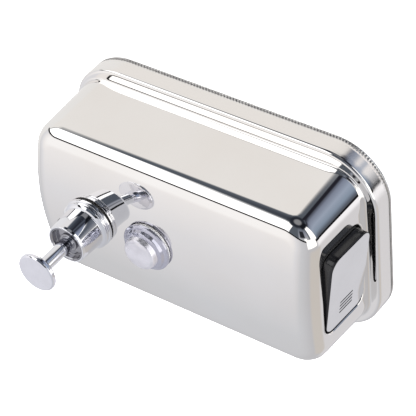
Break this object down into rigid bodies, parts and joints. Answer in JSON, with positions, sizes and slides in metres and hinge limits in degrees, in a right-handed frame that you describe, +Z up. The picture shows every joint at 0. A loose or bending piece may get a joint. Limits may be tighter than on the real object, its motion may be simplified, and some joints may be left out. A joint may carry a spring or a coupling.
{
  "type": "wall mounted soap dispenser",
  "caption": "Wall-mounted polished steel soap dispenser: rounded tank with rear skirt, push pump, sight glass and see-saw filler lid, hung on a wall bracket.",
  "frame": {"origin": "centre of the wall bracket's four-screw pattern, on the wall plane", "axes": "+Z up, towards the filler lid; -Y out of the wall towards the user, along the pump's axis; +X to the user's right"},
  "size_m": [0.124, 0.1182, 0.2],
  "materials": {
    "polished_steel": "mirror-polished stainless steel",
    "seam_steel": "serrated rolled seam",
    "brushed_steel": "satin",
    "chrome": "polished",
    "chrome_bush": "polished",
    "chrome_stem": "polished",
    "chrome_button": "polished",
    "chrome_lid": "polished, faintly hazed",
    "spring_steel": "satin",
    "clear_acrylic": "clear, polished",
    "black_plastic": "satin moulded",
    "lid_plastic": "satin moulded",
    "white_plastic": "satin moulded",
    "nozzle_plastic": "moulded",
    "tube_plastic": "translucent",
    "black_rubber": "matte",
    "grey_rubber": "matte"
  },
  "bodies": {
    "bracket": {"wall_bracket": "brushed_steel"},
    "dispenser": {"body_shell": "polished_steel", "back_plate": "brushed_steel", "seam_band": "seam_steel", "hanger_straps": "brushed_steel", "pump_housing": "chrome", "housing_gasket": "black_rubber", "pump_washer": "black_rubber", "pump_nut": "white_plastic", "guide_bush": "chrome_bush", "stem_seal": "black_rubber", "pump_cylinder": "white_plastic", "outlet_nozzle": "nozzle_plastic", "intake_valve": "white_plastic", "dip_tube": "tube_plastic", "return_spring": "spring_steel", "sight_glass": "clear_acrylic", "sight_gasket": "grey_rubber", "sight_washer": "black_rubber", "sight_nut": "white_plastic", "filler_collar": "black_plastic", "collar_gasket": "black_rubber", "hinge_pin": "spring_steel"},
    "plunger": {"plunger_stem": "chrome_stem", "push_button": "chrome_button", "piston": "white_plastic", "piston_seal": "black_rubber"},
    "lid": {"lid_cover": "chrome_lid", "lid_liner": "lid_plastic", "lid_gasket": "black_rubber"},
    "inlet_ball": {"inlet_ball": "spring_steel"}
  },
  "joints": [
    {"name": "dispenser_lift", "type": "slide", "parent": "bracket", "child": "dispenser", "axis": [0, 0, 1], "range_m": [0, 0.016]},
    {"name": "plunger_press", "type": "slide", "parent": "dispenser", "child": "plunger", "axis": [0, 1, 0], "range_m": [0, 0.016], "stiffness_N_per_m": 250, "springref_m": -0.004, "deforming": ["return_spring"]},
    {"name": "lid_hinge", "type": "hinge", "parent": "dispenser", "child": "lid", "pos_m": [0.018, -0.03886, 0.08975], "axis": [0, 0.999, 0.0454], "range_deg": [-7.5, 62]},
    {"name": "inlet_ball_lift", "type": "slide", "parent": "dispenser", "child": "inlet_ball", "axis": [0, 0, 1], "range_m": [0, 0.002]}
  ]
}
